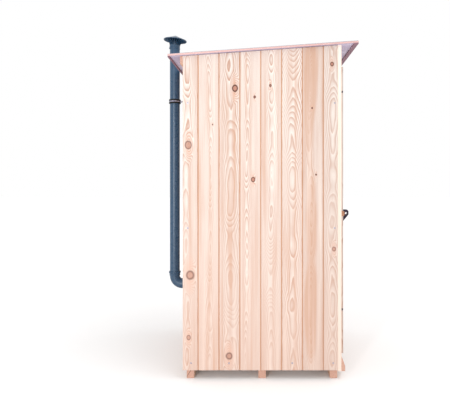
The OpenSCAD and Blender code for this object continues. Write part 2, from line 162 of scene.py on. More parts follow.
def pine(name, light, dark, heart, along=None, middle=(0, 0, 0), log=(0.03, 0.05, 0.3), half=10.0, lean=0.0,
         crack=False, rough=0.62, ring_mm=5.0, relief=0.5):
    """Pine, with growth rings round a pith line that runs along the piece and wanders a little.

    A real ring is 2 to 4 mm wide. It is drawn wider here, so that it shows from a few metres away.
    A board gives its own grain, log, tone and knots as attributes. A timber along an axis is centred
    on its middle, and turned by lean where it stands askew.
    """
    made, node, shader = finish_named(name, IOR=1.45, Specular_IOR_Level=0.25)
    if along is None:
        grain = node("Attribute", attribute_name="grain", out="Vector")
        log_at = node("Attribute", attribute_name="log", out="Vector")
        tone = node("Attribute", attribute_name="tone", out="Vector")
        heart_r = node("SeparateXYZ", tone)
        shade = node("SeparateXYZ", tone, out=1)
        contrast = node("SeparateXYZ", tone, out=2)
    else:
        place = node("TexCoord", out="Object")
        centred = node("VectorMath.SUBTRACT", place, middle)
        turned_to = node("Mapping", centred, Rotation=(0.0, lean, 0.0))
        order = {"X": (1, 2, 0), "Y": (2, 0, 1), "Z": (0, 1, 2)}[along]
        grain = node("CombineXYZ", *(node("SeparateXYZ", turned_to, out=i) for i in order))
        log_at = node("CombineXYZ", *log)
        heart_r, shade, contrast = 0.045, 0.5, 0.8
    u, w, v = (node("SeparateXYZ", grain, out=i) for i in range(3))
    pith_u, pith_w, seed = (node("SeparateXYZ", log_at, out=i) for i in range(3))

    # The pith line wanders across and in depth: where it nears the face, the rings open into arches.
    wander_at = node("CombineXYZ", node("Math.MULTIPLY", seed, 53.0), 0.0, v)
    wander = node("TexNoise", wander_at, Scale=1.6, Detail=2.0, Roughness=0.45, out="Color")
    across = node("MapRange", node("SeparateXYZ", wander), 0.0, 1.0, 0.025, -0.025)
    across = node("Math.ADD", across, node("Math.SUBTRACT", u, pith_u))
    deep = node("MapRange", node("SeparateXYZ", wander, out=1), 0.0, 1.0, 0.065, -0.065)
    deep = node("Math.ADD", deep, node("Math.SUBTRACT", w, pith_w))
    radius = node("VectorMath.LENGTH", node("CombineXYZ", across, deep), out="Value")
    seeded = node("VectorMath.ADD", grain, node("CombineXYZ", seed, seed, seed))
    wave = node("TexNoise", node("Mapping", seeded, Scale=(14.0, 14.0, 3.0)), Scale=1.0, Detail=3.0)
    radius = node("Math.MULTIPLY_ADD", wave, 0.012, radius)

    # Each knot pushes the rings aside and has a ringed core, a dark rim, a halo of stained wood and a
    # streak above and below. One with a minus radius is sound, so its rim is paler and has no streak.
    core, swirl, rim, halo, tail = 0.0, 0.0, 0.0, 0.0, 0.0
    for knot in ("knot_a", "knot_b", "knot_c") if along is None else ():
        at = node("Attribute", attribute_name=knot, out="Vector")
        knot_u, knot_v, signed_r = (node("SeparateXYZ", at, out=i) for i in range(3))
        knot_r = node("Math.ABSOLUTE", signed_r)
        bold = node("MapRange", signed_r, -0.001, 0.001, 0.6, 1.0)
        off_u = node("Math.DIVIDE", node("Math.SUBTRACT", u, knot_u), knot_r)
        off_v = node("Math.DIVIDE", node("Math.SUBTRACT", v, knot_v), knot_r)
        off = node("CombineXYZ", off_u, off_v)
        near = node("VectorMath.LENGTH", node("VectorMath.MULTIPLY", off, (1.0, 0.85, 0.0)), out="Value")
        near = node("Math.MULTIPLY_ADD", wave, 0.9, near)
        near = node("Math.SUBTRACT", near, 0.45)
        drawn = node("VectorMath.LENGTH", node("VectorMath.MULTIPLY", off, (0.5, 0.16, 0.0)), out="Value")
        push = node("MapRange", drawn, 0.0, 1.0, 1.5, 0.0, interpolation_type="SMOOTHSTEP")
        radius = node("Math.MULTIPLY_ADD", push, knot_r, radius)
        inside = node("MapRange", near, 0.8, 1.05, 1.0, 0.0)
        filled = node("MapRange", signed_r, -0.001, 0.001, 0.5, 1.0)
        core = node("Math.MAXIMUM", core, node("Math.MULTIPLY", inside, filled))
        turns = node("Math.FRACT", node("Math.MULTIPLY", near, 3.4))
        swirl = node("Math.MAXIMUM", node("Math.MULTIPLY", turns, inside), swirl)
        off_rim = node("Math.ABSOLUTE", node("Math.SUBTRACT", near, 0.92))
        off_rim = node("MapRange", off_rim, 0.07, 0.32, 1.0, 0.0)
        rim = node("Math.MAXIMUM", node("Math.MULTIPLY", off_rim, bold), rim)
        pin = node("Math.MULTIPLY", node("MapRange", knot_r, 0.005, 0.011, 0.9, 0.0), inside)
        rim = node("Math.MAXIMUM", rim, pin)
        halo = node("Math.MAXIMUM", halo, node("MapRange", drawn, 0.25, 0.95, 1.0, 0.0))
        thin = node("VectorMath.LENGTH", node("VectorMath.MULTIPLY", off, (1.9, 0.3, 0.0)), out="Value")
        thin = node("MapRange", node("Math.MULTIPLY_ADD", wave, 0.5, thin), 0.55, 1.2, 1.0, 0.0)
        thin = node("Math.MULTIPLY", thin, node("MapRange", signed_r, 0.0, 0.001))
        tail = node("Math.MAXIMUM", tail, thin)

    # Within a ring the pale early wood darkens slowly to the late wood, then stops short.
    phase = node("Math.FRACT", node("Math.DIVIDE", radius, ring_mm / 1000))
    late = node("Math.MULTIPLY", node("MapRange", phase, 0.35, 0.88, interpolation_type="SMOOTHSTEP"),
                node("MapRange", phase, 0.9, 1.0, 1.0, 0.0))
    patchy = node("TexNoise", node("Mapping", seeded, Scale=(9.0, 9.0, 1.3)), Scale=1.0, Detail=2.0)
    patchy = node("MapRange", patchy, 0.3, 0.7, 0.35, 1.0)
    ring = node("Math.MULTIPLY", late, node("Math.MULTIPLY", patchy, contrast))
    fibre = node("TexNoise", node("Mapping", seeded, Scale=(260.0, 260.0, 5.0)), Scale=1.0, Detail=3.0)
    streak = node("TexNoise", node("Mapping", seeded, Scale=(34.0, 34.0, 0.9)), Scale=1.0, Detail=4.0)

    colour = node("MixRGB", node("Math.MULTIPLY", ring, 0.85), light, dark)
    early = node("Math.MULTIPLY", node("MapRange", phase, 0.0, 0.3, 0.65, 0.0), patchy)
    colour = node("MixRGB", early, colour, "F2EAE3")
    inner = node("Math.SUBTRACT", radius, heart_r)
    layers = ((inner, -0.008, 0.006, 0.75, 0.0, heart), (streak, 0.52, 0.72, 0.0, 0.75, heart),
              (streak, 0.46, 0.28, 0.0, 0.5, "F0E5DC"), (fibre, 0.3, 0.7, 0.0, 0.16, dark))
    for strength, *span, tint in layers:
        colour = node("MixRGB", node("MapRange", strength, *span), colour, tint)
    if along is None:
        # Between the face and the tongue's back, in the grooves, the colour is painted more orange: painted
        # shade and warm bounced light inside the narrow groove.
        painted_groove_shade = node("Math.MULTIPLY", node("MapRange", w, 0.003, 0.0048, 0.0, 0.75),
                      node("MapRange", w, 0.0115, 0.0125, 1.0, 0.0))
        painted_groove_shade = node("Math.MULTIPLY", painted_groove_shade, node("MapRange", u, 0.060, 0.064))
        colour = node("MixRGB", painted_groove_shade, colour, "D49A70")
        # Low down the colour is a little darker and warmer, fading out by 1.7 m up.
        up = node("SeparateXYZ", node("TexCoord", out="Object"), out=2)
        colour = node("MixRGB", node("MapRange", up, 0.1, 1.7, 0.36, 0.0), colour, "C99E88")
        colour = node("MixRGB", node("Math.MULTIPLY", halo, 0.32), colour, "DBA184")
        colour = node("MixRGB", node("Math.MULTIPLY", tail, 0.6), colour, "B97F63")
        colour = node("MixRGB", core, colour, "B98672")
        colour = node("MixRGB", node("Math.MULTIPLY", swirl, 0.5), colour, "96665A")
        colour = node("MixRGB", rim, colour, "54312B")
    colour = node("VectorMath.SCALE", colour, None, None, node("MapRange", shade, 0.0, 1.0, 0.93, 1.03))
    if along is not None:
        # The sawn ends drink in dirt and darken, and their rings stand out.
        end_on = node("Math.GREATER_THAN", node("Math.ABSOLUTE", v), half - 0.001)
        spots = node("TexNoise", seeded, Scale=170.0, Detail=3.0)
        end_tone = node("MixRGB", node("MapRange", spots, 0.35, 0.7, 0.1, 0.55), "D3AB99", "AE8371")
        end_tone = node("MixRGB", node("Math.MULTIPLY", late, 0.45), end_tone, "A87866")
        if crack:
            # The rear skid's drying crack is not cut into the mesh: it is a dark line of painted shade, as
            # inside the split.
            crack_shade = node("Math.MULTIPLY_ADD", u, 1.6, w)
            crack_shade = node("Math.MULTIPLY_ADD", wave, 0.02, crack_shade)
            crack_shade = node("Math.ABSOLUTE", node("Math.SUBTRACT", crack_shade, 0.01))
            end_tone = node("MixRGB", node("MapRange", crack_shade, 0.001, 0.005, 1.0, 0.0), end_tone, "5A3A30")
        colour = node("MixRGB", end_on, colour, end_tone)
    give(shader, "Base Color", colour)
    give(shader, "Roughness", node("MapRange", fibre, 0.2, 0.8, rough - 0.06, rough + 0.1))
    height = node("Math.MULTIPLY_ADD", ring, 0.6, fibre)
    give(shader, "Normal", node("Bump", Strength=relief, Distance=0.0006, Height=height))
    return made


def cad_timber(node, along, log, tones, width=0.002, lean=0.0, crack=False, rough=0.75):
    """Eases a CAD timber's edges and gives it pine with the grain along an axis, in its own tones."""
    low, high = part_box(node)
    half = {"X": high.x - low.x, "Y": high.y - low.y, "Z": high.z - low.z}[along] / 2
    made = pine("pine_" + node, *tones, along, (low + high) / 2, log, half, lean, crack, rough, relief=0.8)
    keep_cad(node, width, made)


# Sawn pine straight from the mill: rough and matt, a little darker and redder than planed boards.
sawn = ("DFC1A8", "BF8D6B", "D3A489")
cad_timber("skid_rear", "X", (0.004, 0.03, 0.1), sawn, 0.003, crack=True)
cad_timber("skid_middle", "X", (-0.01, 0.06, 0.4), sawn, 0.003)
cad_timber("skid_front", "X", (0.012, -0.05, 0.7), sawn, 0.003)


# The frame: square sawn studs and rails, nailed up inside the boards. Soles lie on the skids, posts
# stand in the corners, mid rails stiffen the walls and top rails and a bearer carry the roof.

frame_grain = {
    "Y": ("sole_plate_left", "sole_plate_right", "mid_rail_left", "mid_rail_right", "top_rail_left",
          "top_rail_right"),
    "X": ("sole_plate_rear", "door_sill", "mid_rail_rear", "top_rail_front", "top_rail_rear", "roof_bearer"),
    "Z": ("post_front_left", "post_front_right", "post_rear_left", "post_rear_right"),
}
frame_dice = random.Random(5)
for grain_axis, members in frame_grain.items():
    for member in members:
        cad_timber(member, grain_axis, (frame_dice.uniform(-0.02, 0.02), frame_dice.uniform(0.02, 0.06),
                                        frame_dice.random()), sawn)


# The walls: upright tongue-and-groove boards of planed pine, 20 mm thick, nailed outside the frame.
# Each covers 138 mm. Its edges are eased, and 7 mm of its tongue shows as a groove beside the next.

board_cover = 0.138
board_t = 0.020
board_length = 2.30
tongue_shows = 0.007
tongue_t = 0.006
face_to_tongue = 0.0055
board_ease = 0.0025
end_ease = 0.004
roof_slope = ((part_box("front_wall_top")[1].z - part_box("rear_batten")[1].z)
              / (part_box("rear_batten")[0].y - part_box("front_wall_top")[0].y))
roof_pitch = math.atan(roof_slope)
roof_normal = (0, math.sin(roof_pitch), math.cos(roof_pitch))


def pick(kind, test):
    """In edit mode, selects the faces or edges whose middle, and normal or direction, pass the test."""
    mesh = bpy.context.object.data
    bpy.ops.mesh.select_mode(type=kind)
    bpy.ops.mesh.select_all(action="DESELECT")
    bpy.ops.object.mode_set(mode="OBJECT")
    if kind == "FACE":
        for face in mesh.polygons:
            face.select = test(face.center, face.normal)
    else:
        for edge in mesh.edges:
            a, b = (mesh.vertices[i].co for i in edge.vertices)
            edge.select = test((a + b) / 2, (b - a).normalized())
    bpy.ops.object.mode_set(mode="EDIT")


def bevel(offset, segments, test):
    """Bevels the active piece's edges that pass the test."""
    pick("EDGE", test)
    bpy.ops.mesh.bevel(offset=offset, segments=segments, affect="EDGES")


def block(low, high):
    """Starts a piece as a block between two corners, in edit mode."""
    bpy.ops.object.select_all(action="DESELECT")
    low, high = Vector(low), Vector(high)
    bpy.ops.mesh.primitive_cube_add(size=1, location=(low + high) / 2, scale=high - low)
    bpy.ops.object.transform_apply(location=True, rotation=True, scale=True)
    bpy.ops.object.mode_set(mode="EDIT")


def copy_of(pattern):
    """A copy of a piece, with its own mesh, as the active piece."""
    bpy.ops.object.select_all(action="DESELECT")
    pattern.select_set(True)
    bpy.context.view_layer.objects.active = pattern
    bpy.ops.object.duplicate(linked=False)
    return bpy.context.object


def placed(pattern, name, at, turn=(0, 0, 0), size=1.0):
    """A copy of a pattern, sized, turned and put in its place, as a finished piece."""
    piece = copy_of(pattern)
    piece.scale = (size, size, size)
    piece.rotation_euler = turn
    piece.location = at
    return settle(name)


def cut(at, normal):
    """Cuts the active piece by a plane, drops what is on the normal's side and closes the cut."""
    bpy.ops.object.mode_set(mode="EDIT")
    bpy.ops.mesh.select_all(action="SELECT")
    bpy.ops.mesh.bisect(plane_co=at, plane_no=normal, use_fill=True, clear_outer=True)
    bpy.ops.object.mode_set(mode="OBJECT")


def bore(piece, at, axis, radius, reach):
    """Bores a round hole through a piece along an axis, by a drill that is then removed."""
    bpy.ops.object.select_all(action="DESELECT")
    bpy.ops.mesh.primitive_cylinder_add(vertices=48, radius=radius, depth=reach, location=at,
                                        rotation=Vector(axis).to_track_quat("Z", "Y").to_euler())
    drill = bpy.context.object
    bored = piece.modifiers.new("bored", "BOOLEAN")
    bored.object = drill
    bored.operation = "DIFFERENCE"
    bored.use_self = True
    bpy.context.view_layer.objects.active = piece
    bpy.ops.object.modifier_apply(modifier="bored")
    bpy.data.objects.remove(drill)


def join_all(pieces, name):
    """Joins finished pieces into one of the given name."""
    bpy.ops.object.select_all(action="DESELECT")
    for piece in pieces:
        piece.select_set(True)
    bpy.context.view_layer.objects.active = pieces[0]
    if len(pieces) > 1:
        bpy.ops.object.join()
    return settle(name)


def fit_out(piece, material, slot, body, *stands_for):
    """Gives a finished piece its one material, the body it rides on and the nodes it replaces. The slot is not
    used.
    """
    piece.data.materials.clear()
    piece.data.materials.append(material)
    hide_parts(*stands_for)
    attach(piece, body)
    return piece


def tongued_board(thickness, length, cover):
    """A board that stands at the origin: x across with its tongue at +x, face at y 0 towards -y, z up."""
    block((0, 0, 0), (cover - tongue_shows, thickness, length))
    bevel(board_ease, 3, lambda at, way: at.y < 0.0001 and abs(way.z) > 0.9)
    bevel(end_ease, 2, lambda at, way: at.y < 0.0001 and abs(way.x) > 0.9 and at.z < 0.001)
    board = settle("board_pattern")
    block((cover - tongue_shows - 0.002, face_to_tongue, 0.0005),
          (cover - 0.0002, face_to_tongue + tongue_t, length))
    bevel(0.001, 1, lambda at, way: at.x > cover - 0.001 and abs(way.z) > 0.9)
    return join_all([board, settle("tongue")], "board_pattern")


def grain_of(board, middle, log, tone, knots=(), order=(0, 1, 2)):
    """Writes a finished board's place in its log, its tone and its knots, for its material to read.

    order says which of x, y and z runs across the board, through it and along it.
    """
    mesh = board.data
    places = [0.0] * (3 * len(mesh.vertices))
    mesh.vertices.foreach_get("co", places)
    shifted = []
    for i in range(0, len(places), 3):
        shifted += [places[i + axis] - middle[axis] for axis in order]
    mesh.attributes.new("grain", "FLOAT_VECTOR", "POINT").data.foreach_set("vector", shifted)
    knots = list(knots) + [(5.0, 0.0, 0.01)] * (3 - len(knots))
    for name, value in (("log", log), ("tone", tone), ("knot_a", knots[0]), ("knot_b", knots[1]),
                        ("knot_c", knots[2])):
        written = mesh.attributes.new(name, "FLOAT_VECTOR", "POINT")
        written.data.foreach_set("vector", list(value) * len(mesh.vertices))


def any_log(dice):
    """Where a board lay in its log: the pith's place across and behind or before it, and a seed."""
    return (dice.uniform(-0.03, 0.03), dice.choice((-1, 1)) * dice.uniform(0.02, 0.09), dice.random())


def any_tone(dice):
    """A board's tone: the radius of its heartwood, how pale it is, and how strong its rings are."""
    return (dice.choice((0.0, 0.03, 0.05, 0.07)), dice.random(), dice.uniform(0.6, 1.0))


def board_row(name, count, low, high, thickness, length, dice, place, turn=0.0, knotty=False):
    """A row of tongued boards of equal width from low to high. place is the y and z of their first corner."""
    cover = (high.x - low.x + tongue_shows) / count
    pattern = tongued_board(thickness, length, cover)
    made = []
    for number in range(count):
        board = copy_of(pattern)
        if number == count - 1:
            cut((cover - tongue_shows, 0, 0), (1, 0, 0))
        knots = []
        if knotty:
            knots = [(dice.uniform(-0.04, 0.04), dice.uniform(0.2, 0.9), dice.uniform(0.006, 0.014)),
                     (dice.uniform(-0.05, 0.05), dice.uniform(1.0, 1.8), dice.uniform(0.004, 0.009))]
        grain_of(board, (cover / 2, 0, 0), any_log(dice), any_tone(dice), knots)
        board.rotation_euler.x = turn
        board.location = (low.x + number * cover, *place)
        made.append(settle(name))
    bpy.data.objects.remove(pattern)
    return join_all(made, name)


# Planed pine, new and unpainted: pale cream with pink-orange latewood lines, satin where the cutters
# have burnished it. The light comes off it softly, and the heartwood shows as salmon streaks.
pale_planed = ("DACEC6", "B4846C", "C8A28C")
planed = pine("planed_pine", *pale_planed)
wall_pattern = tongued_board(board_t, board_length, board_cover)


def wall(name, node, turn, first_joint, own_knots, seed, hole=None, own_tones=()):
    """A wall of boards in place of a CAD wall, whose face looks turn degrees round from -y.

    Everything is measured from the wall's left end as one looks at its face, and up from the ground:
    the first joint, the knots as across, up and radius, and the hole for a pipe in the same way.
    """
    low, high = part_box(node)
    dice = random.Random(seed)
    angle = math.radians(turn)
    out = Vector((math.sin(angle), -math.cos(angle), 0))
    run = Vector((math.cos(angle), math.sin(angle), 0))
    face = max(low.dot(out), high.dot(out))
    start = min(low.dot(run), high.dot(run))
    length = abs((high - low).dot(run))
    made = []
    at = first_joint - board_cover
    while at < length - 0.001:
        board = copy_of(wall_pattern)
        board.location = (at, 0, low.z)
        bpy.ops.object.transform_apply(location=True, rotation=False, scale=False)
        if at < 0:
            cut((0, 0, 0), (-1, 0, 0))
        if at + board_cover > length:
            cut((length, 0, 0), (1, 0, 0))
        if hole and at - hole[2] < hole[0] < at + board_cover + hole[2]:
            bore(board, (hole[0], 0, hole[1]), (0, 1, 0), hole[2], 0.2)
        middle = (at + (board_cover - tongue_shows) / 2, 0.0, 0.0)
        knots = [(over - middle[0], up, r) for over, up, r in own_knots if at < over < at + board_cover][:3]
        if not own_knots and dice.random() < 0.7:
            knots = [(dice.uniform(-0.04, 0.04), dice.uniform(0.2, 1.2), dice.uniform(0.005, 0.014)),
                     (dice.uniform(-0.05, 0.05), dice.uniform(1.3, 2.0), dice.uniform(0.004, 0.008))]
        log, tone = any_log(dice), any_tone(dice)
        grain_of(board, middle, log, own_tones[len(made)] if own_tones else tone, knots)
        board.rotation_euler.z = angle
        board.location = out * face + run * start
        settle(name)
        cut((0, low.y, high.z), roof_normal)
        made.append(board)
        at += board_cover
    return fit_out(join_all(made, name), planed, "pine_board", "cabin", node)


# The left wall's knots, and its boards' tones, from its rear corner to the door's side.
left_knots = ((0.345, 1.925, 0.019), (0.475, 1.868, 0.007), (0.579, 1.944, 0.008), (0.855, 1.795, 0.005),
              (0.881, 1.355, 0.005), (0.197, 1.686, 0.004), (0.465, 1.322, 0.012), (0.037, 1.550, -0.021),
              (0.048, 0.691, -0.026), (0.038, 0.278, -0.013), (0.987, 2.086, 0.011), (1.000, 0.863, -0.012),
              (0.306, 0.156, -0.021))
left_tones = ((0.0, 0.6, 0.9), (0.0, 0.8, 0.8), (0.085, 0.45, 1.0), (0.0, 0.8, 0.9), (0.035, 0.8, 0.9),
              (0.0, 0.8, 1.0), (0.05, 0.4, 0.9), (0.055, 0.3, 0.9))
wall("left_wall_boards", "left_wall", -90, 0.105, left_knots, 11, own_tones=left_tones)
wall("right_wall_boards", "right_wall", 90, 0.092, (), 23)
pipe_hole_r = 0.0377
pipe_hole_z = (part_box("wall_collar")[0].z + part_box("wall_collar")[1].z) / 2
wall("rear_wall_boards", "rear_wall", 180, 0.105, (), 31,
     hole=(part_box("rear_wall")[1].x, pipe_hole_z, pipe_hole_r))
bpy.data.objects.remove(wall_pattern)


# The front wall: thicker planed planks round the doorway. Two stand beside it, one lies over it and
# one lies under it in front of the sill. Their arrises are eased, and their ends butt without a gap.

def plank(name, node, order, log, tone, knots, ease=0.002, body="cabin", under_roof=False):
    """A planed plank in place of a CAD node, its edges eased, its top cut to the roof if it meets it."""
    low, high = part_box(node)
    block(low, high)
    bevel(ease, 2, lambda at, way: True)
    made = settle(name)
    if under_roof:
        cut((0, low.y, high.z - 0.0005), roof_normal)
    middle = (low + high) / 2
    grain_of(made, (middle.x, high.y, middle.z), log, tone, knots, order)
    fit_out(made, front_planed_painted_light, "pine_board", body, node)


# Planed pine again, painted paler than the walls' boards: the paleness is painted light, standing for the
# brightly lit front.
front_planed_painted_light = pine("planed_pine_painted_paler", "F3E9DF", "DDBBA4", "EBD0BE")


plank("front_jamb_left", "front_wall_left", (0, 1, 2), (0.01, 0.05, 0.21), (0.03, 0.9, 0.7),
      ((0.02, 0.35, 0.008),), under_roof=True)
plank("front_jamb_right", "front_wall_right", (0, 1, 2), (-0.02, 0.04, 0.63), (0.05, 0.6, 0.8),
      ((-0.02, -0.42, 0.009),), under_roof=True)
plank("front_header", "front_wall_top", (2, 1, 0), (0.0, 0.05, 0.38), (0.05, 0.4, 0.9), ((0.02, 0.21, 0.011),),
      under_roof=True)
plank("front_foot", "front_wall_foot", (2, 1, 0), (0.0, 0.06, 0.81), (0.0, 0.7, 0.8), ())

# The weather board: one thick planed board in front of the foot, bevelled on top so that rain runs
# off it. It stays the CAD's, with eased arrises; its end grain shows beside the skid.
cad_timber("weather_board", "X", (0.01, 0.03, 0.55), pale_planed, 0.0015, rough=0.65)

# The rear batten: a planed strip along the top of the rear wall, close under the roof.
cad_timber("rear_batten", "X", (0.0, 0.04, 0.27), ("E9BF9E", "CB8C63", "DFA27E"), 0.0015)


# The floor: nine planed boards that run from the doorway to the rear wall, on the three skids. They are
# tongued like the walls' boards, and nailed down.

floor_low, floor_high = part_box("floor_boards")
floor_count = 9
floor_row = board_row("floor_planking", floor_count, floor_low, floor_high, board_t, floor_high.y - floor_low.y,
                      random.Random(41), (floor_low.y, floor_high.z), math.radians(-90))
fit_out(floor_row, planed, "pine_board", "cabin", "floor_boards")


# The roof: one panel of film-faced plywood, nailed to the rails, that falls to the rear. The film is drawn
# matt, and its lilac-grey with fine pale streaks along the panel is painted reflection of the white studio in a
# dark brown film; the sawn edges show the plies in brown.

panel_low, panel_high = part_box("roof_panel")
film, node, shader = finish_named("film_faced_plywood", IOR=1.5, Specular_IOR_Level=0.35)
panel_place = node("TexCoord", out="Object")
skin_t = 0.0009
panel_x = node("Math.ABSOLUTE", node("SeparateXYZ", panel_place))
panel_y = node("SeparateXYZ", panel_place, out=1)
on_side = node("Math.GREATER_THAN", panel_x, panel_high.x - skin_t)
on_rear = node("Math.GREATER_THAN", panel_y, panel_high.y - skin_t)
on_front = node("Math.LESS_THAN", panel_y, panel_low.y + skin_t)
on_edge = node("Math.MAXIMUM", on_side, node("Math.MAXIMUM", on_rear, on_front))

# The plies lie along the roof's slope, so they are told by the height above its underside.
ply_t = 0.0014
wall_face, wall_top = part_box("front_wall_top")[0].y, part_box("front_wall_top")[1].z
panel_z = node("SeparateXYZ", panel_place, out=2)
rise = node("Math.MULTIPLY_ADD", panel_y, roof_slope, panel_z)
rise = node("Math.SUBTRACT", rise, wall_top + wall_face * roof_slope)
ply = node("Math.DIVIDE", rise, ply_t * 2)
ply = node("Math.GREATER_THAN", node("Math.FRACT", ply), 0.5)
ply_noise = node("TexNoise", node("Mapping", panel_place, Scale=(60.0, 60.0, 400.0)), Scale=1.0, Detail=3.0)
ply_tone = node("MixRGB", ply, "E3C1BC", "CFA5A0")
ply_tone = node("MixRGB", node("MapRange", ply_noise, 0.3, 0.8, 0.0, 0.5), ply_tone, "B08482")
# Painted reflection: the lilac-grey and its paler streaks stand for the white studio seen in the film, not for
# the film's own colour.
film_reflection_streak = node("TexNoise", node("Mapping", panel_place, Scale=(38.0, 1.2, 1.0)), Scale=1.0, Detail=3.0)
film_mottle = node("TexNoise", panel_place, Scale=9.0, Detail=4.0)
film_reflection_tone = node("MixRGB", node("MapRange", film_reflection_streak, 0.42, 0.7, 0.0, 0.8), "B3A5BF", "CFC6DA")
film_reflection_tone = node("MixRGB", node("MapRange", film_mottle, 0.45, 0.8, 0.0, 0.4), film_reflection_tone, "9C8AA0")
give(shader, "Base Color", node("MixRGB", on_edge, film_reflection_tone, ply_tone))
give(shader, "Roughness", node("MapRange", film_mottle, 0.3, 0.7, 0.42, 0.58))
give(shader, "Normal", node("Bump", Strength=0.3, Distance=0.0005,
                            Height=node("TexNoise", panel_place, Scale=420.0, Detail=2.0)))
keep_cad("roof_panel", 0.0008, film)

# The strips under the roof's front and rear edges: thin softwood laths in a dark mauve-brown stain,
# which stiffen the edge and shed the drips. The stain has sunk in unevenly along the grain.
lath, node, shader = finish_named("mauve_brown_stain", IOR=1.45, Specular_IOR_Level=0.3)
place = node("TexCoord", out="Object")
lath_noise = node("TexNoise", node("Mapping", place, Scale=(4.0, 190.0, 190.0)), Scale=1.0, Detail=4.0)
give(shader, "Base Color", node("MixRGB", node("MapRange", lath_noise, 0.35, 0.7), "7C5B66", "9D7888"))
give(shader, "Roughness", node("MapRange", lath_noise, 0.3, 0.7, 0.5, 0.72))
give(shader, "Normal", node("Bump", Strength=0.5, Distance=0.0006, Height=lath_noise))
for strip in ("roof_strip_front", "roof_strip_rear"):
    keep_cad(strip, 0.001, lath)

# The roof's cover: a sheet of blue-grey mineral felt, laid loose-edged on the panel and nailed. Its
# slate granules are a millimetre across. They are drawn coarser, so that they show.

felt_t = 0.0022
felt_inset = 0.0015
panel_t = 0.012
felt_rise = panel_t + felt_t / 2
panel_mid = (panel_low.y + panel_high.y) / 2
seat_z = wall_top + (wall_face - panel_mid) * roof_slope
block((panel_low.x + felt_inset, (panel_low.y - panel_high.y) / 2 + felt_inset, -felt_t / 2),
      (panel_high.x - felt_inset, (panel_high.y - panel_low.y) / 2 - felt_inset, felt_t / 2))
bevel(0.0008, 2, lambda at, way: at.z > 0)
bpy.ops.object.mode_set(mode="OBJECT")
felt_sheet = bpy.context.object
felt_sheet.rotation_euler.x = -roof_pitch
felt_sheet.location = (0, panel_mid + math.sin(roof_pitch) * felt_rise,
                       seat_z + math.cos(roof_pitch) * felt_rise + 0.0002)
settle("roof_felt")
felt, node, shader = finish_named("mineral_felt", IOR=1.5, Specular_IOR_Level=0.2, Roughness=0.92)
place = node("TexCoord", out="Object")
granules = node("TexVoronoi", place, Scale=340.0)
weathered = node("TexNoise", place, Scale=5.0, Detail=4.0)
felt_tone = node("MixRGB", node("MapRange", granules, 0.1, 0.7), "5E6A7A", "939DAD")
give(shader, "Base Color", node("MixRGB", node("MapRange", weathered, 0.4, 0.7, 0.0, 0.35), felt_tone,
                                "A9AEB6"))
give(shader, "Normal", node("Bump", Strength=0.6, Distance=0.001, Height=granules))
fit_out(felt_sheet, felt, "roof_film_ply", "cabin")


# The vent pipe: slate-grey PVC soil pipe, 75 mm across with a 2.2 mm wall, extruded. It stands in the
# elbow's socket, passes behind the roof's rear edge and carries the cowl.

def carry(at, outline):
    """Carries the selected ring, on a vertical axis, from an outline's first (radius, height) to its last.

    At a radius of 0 it closes to a point.
    """
    radius, height = outline[0]
    for next_radius, next_height in outline[1:]:
        bpy.ops.mesh.extrude_region_move(TRANSFORM_OT_translate={"value": (0, 0, next_height - height)})
        if next_radius > 0:
            grown = next_radius / radius
            bpy.ops.transform.resize(value=(grown, grown, 1), center_override=(at[0], at[1], next_height))
        else:
            bpy.ops.mesh.merge(type="CENTER")
        radius, height = next_radius, next_height


def hoop(at, radius, sides, turn=(0, 0, 0)):
    """Starts a piece as a hoop of edges, in edit mode and all selected."""
    bpy.ops.object.select_all(action="DESELECT")
    bpy.ops.mesh.primitive_circle_add(vertices=sides, radius=radius, location=at, rotation=turn)
    bpy.ops.object.transform_apply(location=True, rotation=True, scale=True)
    bpy.ops.object.mode_set(mode="EDIT")
    bpy.ops.mesh.select_mode(type="EDGE")
    bpy.ops.mesh.select_all(action="SELECT")


def close_up(capped):
    """Merges a piece's doubles, caps its open ends if asked, and turns its faces outwards."""
    bpy.ops.mesh.select_all(action="SELECT")
    bpy.ops.mesh.remove_doubles(threshold=0.00002)
    if capped:
        bpy.ops.mesh.fill_holes(sides=0)
    bpy.ops.mesh.select_all(action="SELECT")
    bpy.ops.mesh.normals_make_consistent(inside=False)


def turned(at, outline, sides=48, ring=False):
    """Turns a round piece on a vertical axis, in edit mode. It is capped, or a ring of a closed outline."""
    hoop((at[0], at[1], outline[0][1]), outline[0][0], sides)
    carry(at, outline + outline[:1] if ring else outline)
    close_up(not ring)


def rounded(name, angle=40):
    """Settles a turned piece and smooths its round faces, but not its corners."""
    made = settle(name)
    bpy.ops.object.shade_smooth_by_angle(angle=math.radians(angle))
    return made


# PVC, extruded or moulded, with a satin skin: a cool slate blue, faintly drawn along the pipe and
# scuffed dull in places.
pvc, node, shader = finish_named("slate_grey_pvc", IOR=1.53, Specular_IOR_Level=0.5)
place = node("TexCoord", out="Object")
drawn_lines = node("TexNoise", node("Mapping", place, Scale=(220.0, 220.0, 2.0)), Scale=1.0, Detail=2.0)
scuffs = node("TexNoise", place, Scale=26.0, Detail=5.0, Roughness=0.65)
pvc_tone = node("MixRGB", node("MapRange", drawn_lines, 0.3, 0.7), "22405A", "2D4C68")
give(shader, "Base Color", node("MixRGB", node("MapRange", scuffs, 0.52, 0.8, 0.0, 0.18), pvc_tone, "58708A"))
give(shader, "Roughness", node("MapRange", scuffs, 0.35, 0.75, 0.24, 0.38))
give(shader, "Normal", node("Bump", Strength=0.25, Distance=0.0004, Height=scuffs))

